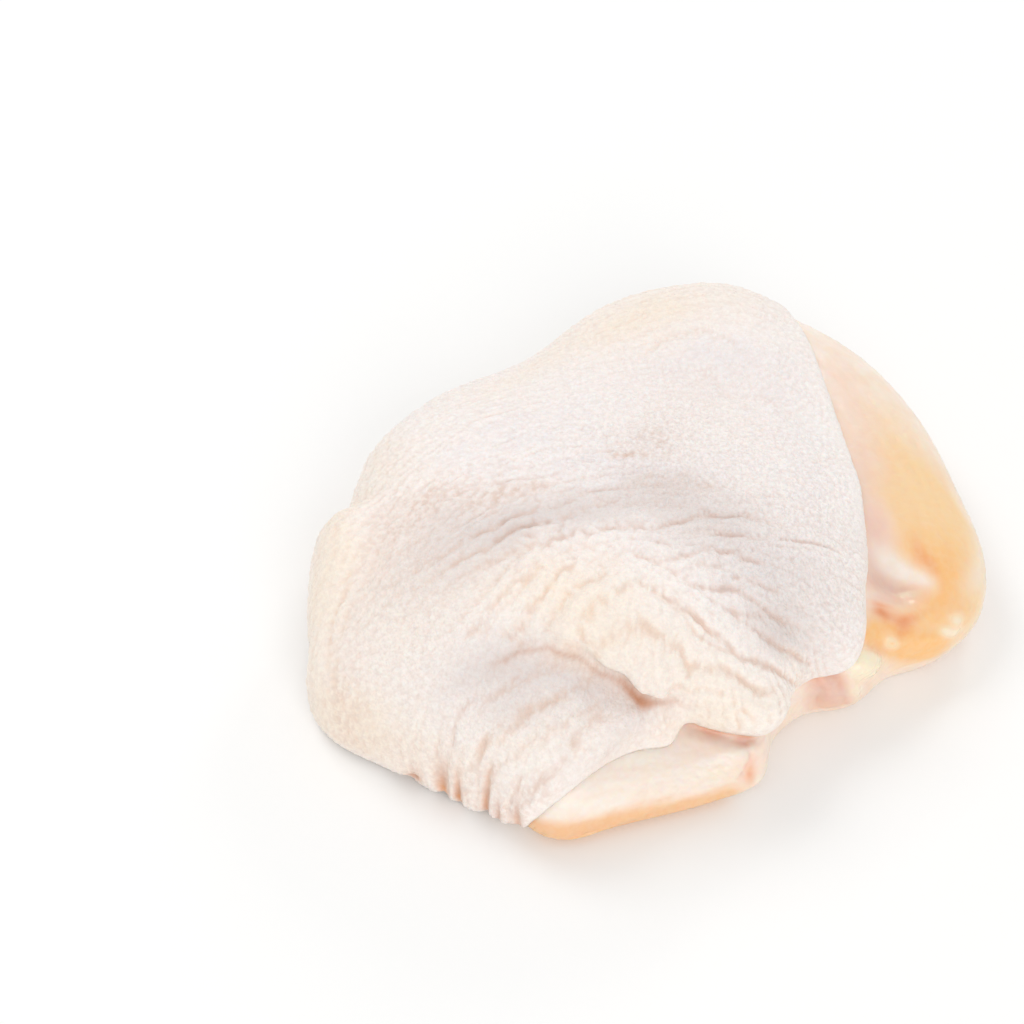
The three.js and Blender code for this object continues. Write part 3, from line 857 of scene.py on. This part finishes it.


# %% Where the meat changes colour
# Bare muscle is gold where it is thick, pinker near the skin, and redder where it was cut. In the gap
# under the roll the red is partly painted shade, and the rose just below it is a painted soft shadow. A
# pale film lies over the flap and in the hollow, with a mauve band under it, and there are lumps of
# fat.
MEAT_TINTS = {
    "gold": [
        ((47, 8), (8, 20), 12, 0.9), ((53, -1), (8, 16), 0, 1.2), ((58, -16), (8, 8), 0, 0.7),
        ((15, -56), (4, 4), 0, 0.5),
    ],
    "amber": [
        ((51, -7), (5, 7), 0, 0.9), ((53, -13.5), (6, 5), 0, 0.9), ((52, -26), (9, 4), 20, 1.0),
        ((56, -24), (7, 5), 10, 0.8), ((48, -27.5), (4, 4), 0, 0.9), ((46, -43), (8, 4), -25, 0.35),
    ],
    # the patches at (13, -48) and (20, -53), just under the gap below the roll, are a painted soft
    # shadow
    "rose": [
        ((39, 4), (4, 16), 4, 0.6), ((40, -7), (4, 6), 0, 0.6), ((43, -15), (5, 4), 0, 0.8),
        ((41, -41), (6, 3), -25, 0.8), ((47, -42), (6, 3.5), -30, 0.6), ((13, -48), (6, 2.4), -12, 0.8),
        ((20, -53), (4, 3), 0, 0.5),
        ((36, 26), (6, 14), 20, 0.3),
    ],
    # the patches at (12, -46) and (19.5, -49.6) fill the gap under the roll: the meat's own red,
    # darkened as painted shade
    "red": [
        ((48.2, -6.4), (1.3, 3.6), 25, 0.5), ((46.3, -21.9), (2.4, 1.7), 20, 0.9),
        ((50.4, -20.6), (1.4, 3.2), 8, 0.85), ((44.6, -20), (2.6, 0.8), 30, 0.5),
        ((12, -46), (8, 1.3), -20, 1.2), ((19.5, -49.6), (3, 1.1), -5, 1.1),
        ((21.5, -58), (1.2, 3), 12, 0.8), ((38, -40), (5, 2.4), -30, 0.8),
        ((46, -44), (4, 2), -30, 0.35),
    ],
    "film": [
        ((-4, -55), (22, 5.5), 12, 1.4), ((8, -53), (9, 5), -10, 1.0), ((43, -8.4), (3.8, 2), -10, 1.1),
        ((47.2, -10.2), (3.2, 1.6), -35, 0.9), ((58.5, -5), (2.6, 7), -15, 0.6),
        ((13, -59), (6, 3), 10, 0.6), ((19.5, -52.5), (3, 2), 0, 0.8),
    ],
    "mauve": [
        ((42.6, -11.8), (4.4, 2.2), -15, 0.8), ((44, -18.4), (2.6, 1.2), 30, 0.5),
        ((44, -44.5), (6, 4), -35, 0.6), ((48, -41.5), (5, 3), -30, 0.4), ((9, -50), (8, 2), -15, 0.3),
    ],
    "fat": [
        ((49.5, -32.5), (4, 2.4), 20, 1.4), ((46.5, -34), (3, 2.4), 0, 1.4),
        ((56.8, -16.2), (1.5, 1.1), 30, 0.9), ((58.2, -18.6), (2.2, 1.4), 20, 1.0),
        ((55.9, -19.2), (1.3, 1), 0, 0.7), ((51, -26.1), (1.9, 1.5), 0, 1.1),
        ((51, -26.1), (0.9, 0.6), 20, -0.9), ((45.8, -13.6), (1.3, 0.7), 20, 0.9),
        ((49.5, -39), (2.6, 1.6), -30, 0.8), ((63, 2), (4, 20), 0, 0.5), ((13, -57), (3, 2), 0, 0.5),
    ],
}
# x on the chart, and the height up to which the flap's cut side shows under its film
RIM_TOP = [(-20, 6.4), (0, 5.6), (20, 4.2)]


# %% The meat's surface
HIDDEN = 0.3  # share of the grid that is spent under the skin
UNDERLAP = 0.07  # how far under the skin's edge the fine part of the grid starts, as a share
UNEVENNESS = 0.12
FAT_LUMPS = 0.35  # how tall the bumps in the fat are


def meat_surface(angle, distance):
    """The mound, with its relief only where it is bare, and none at the foot that it rests on."""
    edge = skin_edge(angle)
    start = edge - UNDERLAP
    bare_part = np.maximum(distance - HIDDEN, 0) / (1 - HIDDEN)
    share = np.where(distance < HIDDEN, distance / HIDDEN * start, start + bare_part * (1 - start))
    x, y = to_chart(angle, share)
    bare = ease(edge - 0.03, edge + 0.02, share) * ease(0.97, 0.92, share)
    grain = fibres(angle, share)
    fine = creased(MEAT_CREASES, x, y) + FIBRE_HEIGHT * grain
    masks = tint_masks(MEAT_TINTS, x, y, 2)
    uneven = UNEVENNESS * (gradient_noise(x / 1.7, y / 1.7) + gradient_noise(x / 0.9, y / 0.9))
    fatty = FAT_LUMPS * masks["fat"] * bumps(x, y, 1.5)
    rise = relief(MEAT_DETAIL, x, y) + fine + uneven + fatty
    points = mound(angle, share) + (bare * rise)[..., None] * mound_normal(angle, share)
    height = points[..., 2] + 0.5 * gradient_noise(x / 3, y / 3)
    below_film = np.interp(x, *np.array(RIM_TOP, float).T) - height
    masks["rim"] = ease(-2.0, 0.9, below_film) * ease(24, 17, x) * ease(-27, -22, x) * ease(-30, -45, y)
    # this mask carries painted shade: the meat darkens where it lies lower than around it
    masks["valley_tint_and_shade"] = sunken(rise, 4, 0.8)
    masks["grain"] = 0.5 + 0.5 * grain
    return points, masks


# %% Make the meat
MEAT_GRID = 281


def make_meat():
    """One grid over the whole mound, closed underneath by a fan that is flat on the table."""
    points, masks = meat_surface(*disc_grid(MEAT_GRID))
    border = grid_border(MEAT_GRID)
    centre = MEAT_GRID**2
    fan = np.stack([np.full(len(border), centre), np.roll(border, -1), border], -1)
    points = np.concatenate([points.reshape(-1, 3), [[CROWN[0], CROWN[1], 0]]])
    padded = {name: np.append(values.ravel(), 0) for name, values in masks.items()}
    return make_piece("leg_meat", points, np.concatenate([grid_triangles(MEAT_GRID), fan]), padded)


meat = make_meat()

# %% [markdown]
# ## The finishes
#
# Both finishes are built the same way. A pale ground colour is mixed with one tint after another,
# each through its own mask. Then comes what is too fine for the mesh: a mottle of colour and a grain
# of tiny bumps. These two effects are shared, so each is a node group with named inputs and outputs,
# placed in each material with its own values. Light enters flesh and comes out again nearby, which
# the shader's subsurface setting does. The wet surface of the meat is the shader's coat. The skin has
# none, because it shines only in tiny spots, where the grain lowers its roughness.


# %% Helpers for nodes
def new_group(name, inputs, outputs):
    """An empty shader node group. It takes a place and the numbers named in inputs, each with its
    starting value, and puts out the masks named in outputs."""
    group = bpy.data.node_groups.new(name, "ShaderNodeTree")
    group.interface.new_socket("Place", in_out="INPUT", socket_type="NodeSocketVector")
    for label, start in inputs.items():
        socket = group.interface.new_socket(label, in_out="INPUT", socket_type="NodeSocketFloat")
        socket.default_value = start
    for label in outputs:
        group.interface.new_socket(label, in_out="OUTPUT", socket_type="NodeSocketFloat")
    return group


def add_node(tree, kind, inputs=None, **settings):
    """A node with its settings, and its inputs as values or as links from other sockets."""
    node = tree.nodes.new(kind)
    for name, value in settings.items():
        setattr(node, name, value)
    for name, value in (inputs or {}).items():
        if isinstance(value, bpy.types.NodeSocket):
            tree.links.new(value, node.inputs[name])
        else:
            node.inputs[name].default_value = value
    return node


def place_group(tree, group, inputs):
    """The outputs of a node that holds the group, with these values or links as its inputs."""
    return add_node(tree, "ShaderNodeGroup", inputs, node_tree=group).outputs


def calculate(tree, operation, a, b):
    """The sum, product or other result of two numbers."""
    return add_node(tree, "ShaderNodeMath", {0: a, 1: b}, operation=operation).outputs[0]


def mix_colours(tree, factor, a, b):
    """Colour a, turned into colour b as far as the factor says. A Mix node has its sockets for
    colours as numbers 6 and 7 of its inputs, and as number 2 of its outputs."""
    return add_node(tree, "ShaderNodeMix", {0: factor, 6: a, 7: b}, data_type="RGBA").outputs[2]


def remap(tree, value, low, high, to_low=0.0, to_high=1.0):
    """A value from low to high, stretched smoothly to another range."""
    inputs = {0: value, 1: low, 2: high, 3: to_low, 4: to_high}
    return add_node(tree, "ShaderNodeMapRange", inputs, interpolation_type="SMOOTHSTEP").outputs[0]


# %% Shared effects: mottle and grain
def make_mottle():
    """Soft blotches of two sizes, from 0 to 1, for colour that varies from place to place."""
    group = new_group("mottle", {"Blotches": 200.0, "Specks": 900.0}, ("Blotch", "Speck"))
    given = group.nodes.new("NodeGroupInput")
    result = group.nodes.new("NodeGroupOutput")
    for size, mask, detail in (("Blotches", "Blotch", 3.0), ("Specks", "Speck", 2.0)):
        inputs = {"Vector": given.outputs["Place"], "Scale": given.outputs[size], "Detail": detail}
        noise = add_node(group, "ShaderNodeTexNoise", inputs)
        group.links.new(remap(group, noise.outputs[0], 0.3, 0.7), result.inputs[mask])
    return group


def make_grain():
    """Tiny round grains: their height, the pits between them, and a gloss on a few of their tops."""
    group = new_group("grain", {"Fineness": 1200.0, "Roughening": 0.5}, ("Height", "Pit", "Gloss"))
    given = group.nodes.new("NodeGroupInput")
    result = group.nodes.new("NodeGroupOutput")
    where = {"Vector": given.outputs["Place"], "Scale": given.outputs["Fineness"]}
    inputs = {**where, "Smoothness": 0.5}
    cells = add_node(group, "ShaderNodeTexVoronoi", inputs, feature="SMOOTH_F1")
    tops = remap(group, cells.outputs["Distance"], 0.75, 0.1)
    noise = add_node(group, "ShaderNodeTexNoise", {**where, "Detail": 3.0})
    rough = calculate(group, "MULTIPLY", noise.outputs[0], given.outputs["Roughening"])
    height = calculate(group, "ADD", tops, rough)
    group.links.new(height, result.inputs["Height"])
    group.links.new(remap(group, height, 0.9, 0.35), result.inputs["Pit"])
    shine = calculate(group, "MULTIPLY", tops, noise.outputs[0])
    group.links.new(remap(group, shine, 0.35, 0.6), result.inputs["Gloss"])
    return group


mottle = make_mottle()
grain = make_grain()

# %% Helpers for materials
def srgb(red, green, blue):
    """A colour as a painter names it, 0 to 255, in the linear values that the shader needs."""
    c = np.array([red, green, blue]) / 255
    linear = np.where(c <= 0.04045, c / 12.92, ((c + 0.055) / 1.055) ** 2.4)
    return (*[float(v) for v in linear], 1.0)


def new_material(name, roughness=0.5):
    """A material, its node tree, and the one shader in it."""
    material = bpy.data.materials.new(name)
    material.use_nodes = True
    shader = material.node_tree.nodes["Principled BSDF"]
    shader.inputs["Roughness"].default_value = roughness
    return material, material.node_tree, shader


def mask_of(tree, name):
    """The value of a mask that make_piece put on the points."""
    return add_node(tree, "ShaderNodeAttribute", attribute_name=name).outputs["Fac"]


def flesh(shader, scatter, radius, depth, coat, coat_roughness):
    """The settings that are the same all over: how much light enters the flesh, how far it goes in
    red, green and blue, and the wet film on top."""
    shader.inputs["Subsurface Weight"].default_value = scatter
    shader.inputs["Subsurface Radius"].default_value = radius
    shader.inputs["Subsurface Scale"].default_value = depth
    shader.inputs["Coat Weight"].default_value = coat
    shader.inputs["Coat Roughness"].default_value = coat_roughness
    shader.inputs["IOR"].default_value = 1.4


# %% The skin's finish
SKIN_COLOURS = {
    "cream": srgb(255, 247, 242),
    "lilac": srgb(246, 241, 241),
    "yellow": srgb(255, 241, 226),
    "blush": srgb(230, 202, 184),
    "dusk": srgb(230, 221, 217),
    # the two valley colours are painted shade, with some of the skin's own warmer colour in its folds
    "dull valley": srgb(222, 190, 174),
    "warm valley": srgb(236, 198, 164),
    "speckle": srgb(222, 202, 194),
    # painted shade in the pits between the grains
    "pit_shade": srgb(206, 188, 182),
    "thin": srgb(254, 244, 236),
    # painted shade of the crease under the roll's lip
    "crease": srgb(196, 128, 84),
    "bright torn": srgb(232, 172, 126),
    "dark torn": srgb(204, 150, 122),
}


def make_skin_finish():
    """Cream, with lilac, yellow, blush and dusk through their masks. Valleys turn warm brown in the
    yellow parts and a duller brown elsewhere, partly their own colour and partly painted shade. The
    pits between the grains darken a little as painted shade, the crease gets painted shade of
    orange-brown, and the torn places have colours of their own."""
    c = SKIN_COLOURS
    material, tree, shader = new_material("skin")
    place = add_node(tree, "ShaderNodeTexCoord").outputs["Object"]
    spots = place_group(tree, mottle, {"Place": place, "Blotches": 190.0, "Specks": 850.0})
    pores = place_group(tree, grain, {"Place": place, "Fineness": 1600.0, "Roughening": 1.1})
    blotches = remap(tree, spots["Blotch"], 0, 1, 0.6, 1.1)
    lilac = calculate(tree, "MULTIPLY", mask_of(tree, "lilac"), blotches)
    colour = mix_colours(tree, lilac, c["cream"], c["lilac"])
    yellow = mask_of(tree, "yellow")
    colour = mix_colours(tree, yellow, colour, c["yellow"])
    specks = remap(tree, spots["Speck"], 0, 1, 0.3, 1.0)
    blush = calculate(tree, "MULTIPLY", mask_of(tree, "blush"), specks)
    colour = mix_colours(tree, blush, colour, c["blush"])
    colour = mix_colours(tree, mask_of(tree, "dusk"), colour, c["dusk"])
    # painted shade in the valleys, dull brown, and warm brown where the skin is yellow
    low = mix_colours(tree, yellow, c["dull valley"], c["warm valley"])
    valley_tint_and_shade = calculate(tree, "MULTIPLY", mask_of(tree, "valley_tint_and_shade"), 0.6)
    colour = mix_colours(tree, valley_tint_and_shade, colour, low)
    colour = mix_colours(tree, remap(tree, spots["Speck"], 0, 1, 0, 0.17), colour, c["speckle"])
    grainy = mask_of(tree, "grainy")
    # painted shade: the pits between the grains darken, more where the skin is grainy
    pit_shade = calculate(tree, "MULTIPLY", pores["Pit"], remap(tree, grainy, 0, 1, 0.1, 0.32))
    colour = mix_colours(tree, pit_shade, colour, c["pit_shade"])
    thin = calculate(tree, "MULTIPLY", mask_of(tree, "thin"), 0.25)
    colour = mix_colours(tree, thin, colour, c["thin"])
    # painted shade in the crease under the roll's lip, orange-brown
    shade = calculate(tree, "MULTIPLY", mask_of(tree, "shade"), 0.85)
    colour = mix_colours(tree, shade, colour, c["crease"])
    torn = mix_colours(tree, spots["Blotch"], c["bright torn"], c["dark torn"])
    colour = mix_colours(tree, mask_of(tree, "torn"), colour, torn)
    tree.links.new(colour, shader.inputs["Base Color"])
    tree.links.new(remap(tree, pores["Gloss"], 0, 1, 0.5, 0.22), shader.inputs["Roughness"])
    height = calculate(tree, "MULTIPLY", pores["Height"], remap(tree, grainy, 0, 1, 0.45, 1))
    bump = add_node(tree, "ShaderNodeBump", {"Height": height, "Strength": 0.9, "Distance": 0.00015})
    tree.links.new(bump.outputs[0], shader.inputs["Normal"])
    flesh(shader, 0.2, (1.0, 0.6, 0.45), 0.001, 0.0, 0.2)
    return material


# %% The meat's finish
MEAT_COLOURS = {
    "gold": srgb(255, 215, 162),
    "amber": srgb(254, 198, 132),
    "rose": srgb(240, 204, 190),
    "red": srgb(237, 146, 88),
    "film": srgb(252, 240, 230),
    "mauve": srgb(226, 196, 186),
    "rim": srgb(246, 198, 152),
    "fat": srgb(253, 238, 212),
}


def make_meat_finish():
    """Peach, with gold, amber, rose, red, a pale film, mauve and fat through their masks, one over
    the other, then speckles, fine fibres and painted shade in the hollows. The thin flap's cut side is
    a band of orange."""
    material, tree, shader = new_material("meat")
    place = add_node(tree, "ShaderNodeTexCoord").outputs["Object"]
    spots = place_group(tree, mottle, {"Place": place, "Blotches": 160.0, "Specks": 600.0})
    colour = mix_colours(tree, spots["Blotch"], srgb(255, 240, 228), srgb(254, 230, 212))
    for name, tint in MEAT_COLOURS.items():
        colour = mix_colours(tree, mask_of(tree, name), colour, tint)
    speckle = remap(tree, spots["Speck"], 0, 1, 0, 0.16)
    colour = mix_colours(tree, speckle, colour, srgb(250, 222, 192))
    fibre = remap(tree, mask_of(tree, "grain"), 0.2, 0.8, 0.1, 0)
    colour = mix_colours(tree, fibre, colour, srgb(240, 172, 122))
    # painted shade: the meat turns darker orange-brown where it lies lower than around it
    valley_tint_and_shade = calculate(tree, "MULTIPLY", mask_of(tree, "valley_tint_and_shade"), 0.35)
    colour = mix_colours(tree, valley_tint_and_shade, colour, srgb(226, 140, 96))
    tree.links.new(colour, shader.inputs["Base Color"])
    tree.links.new(remap(tree, mask_of(tree, "fat"), 0, 1, 0.36, 0.2), shader.inputs["Roughness"])
    relief_inputs = {"Height": spots["Speck"], "Strength": 0.15, "Distance": 0.0001}
    bump = add_node(tree, "ShaderNodeBump", relief_inputs)
    tree.links.new(bump.outputs[0], shader.inputs["Normal"])
    flesh(shader, 0.35, (1.0, 0.45, 0.2), 0.002, 0.3, 0.22)
    return material


skin.data.materials.append(make_skin_finish())
meat.data.materials.append(make_meat_finish())
for material in (*skin.data.materials, *meat.data.materials):
    print("the material", material.name, "has", len(material.node_tree.nodes), "nodes")

# %% Tell the frame what each piece is
for piece, node in ((skin, "skin"), (meat, "meat")):
    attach(piece, "root")
    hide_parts(node)

# %% [markdown]
# ## The table and the light
#
# The photograph was lit from all round, as in a tent of white cloth: the sides of the leg are as
# bright as its top, and the only dark places are deep folds. A white world does that. Three softboxes
# model the relief a little: one behind on the left, a smaller one behind on the right, which makes the
# glints on the wet surface, and the strongest in front, which keeps the near side bright.

# %% Table, softboxes and world
TABLE_SIZE = 3  # half its width, in metres
TENT_BRIGHTNESS = 0.7


def make_table():
    """One pale square, so large that its edge never shows."""
    corners = [(x * TABLE_SIZE, y * TABLE_SIZE, 0) for x, y in ((-1, -1), (1, -1), (1, 1), (-1, 1))]
    mesh = bpy.data.meshes.new("table")
    mesh.from_pydata(corners, [], [(0, 1, 2, 3)])
    table = bpy.data.objects.new("table", mesh)
    bpy.context.scene.collection.objects.link(table)
    material, _, shader = new_material("table", 0.6)
    shader.inputs["Base Color"].default_value = srgb(252, 252, 251)
    table.data.materials.append(material)
    table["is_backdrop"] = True


def add_softbox(name, place, size, power):
    """A square lamp that faces the leg: it is tipped from straight down, then turned round."""
    lamp = bpy.data.objects.new(name, bpy.data.lights.new(name, "AREA"))
    lamp.data.size = size
    lamp.data.energy = power
    lamp.location = place
    x, y, z = place
    lamp.rotation_euler = (0, math.atan2(math.hypot(x, y), z), math.atan2(y, x))
    bpy.context.scene.collection.objects.link(lamp)


make_table()
add_softbox("softbox_left", (-0.5, 0.5, 0.8), 0.5, 2.5)
add_softbox("softbox_right", (0.45, 0.9, 0.5), 0.25, 1.2)
add_softbox("softbox_front", (0.2, -0.9, 0.6), 0.6, 3.2)
world = bpy.data.worlds.new("tent")
world.use_nodes = True
world.node_tree.nodes["Background"].inputs["Color"].default_value = (1, 1, 1, 1)
world.node_tree.nodes["Background"].inputs["Strength"].default_value = TENT_BRIGHTNESS
bpy.context.scene.world = world
bpy.context.scene.view_settings.view_transform = "Standard"

# %% Compare the sizes
visual_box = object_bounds()
excess = [round((v - c) / MM, 1) for c, v in zip(cad_box[1], visual_box[1])]
print("over the solids' box by", excess, "mm")
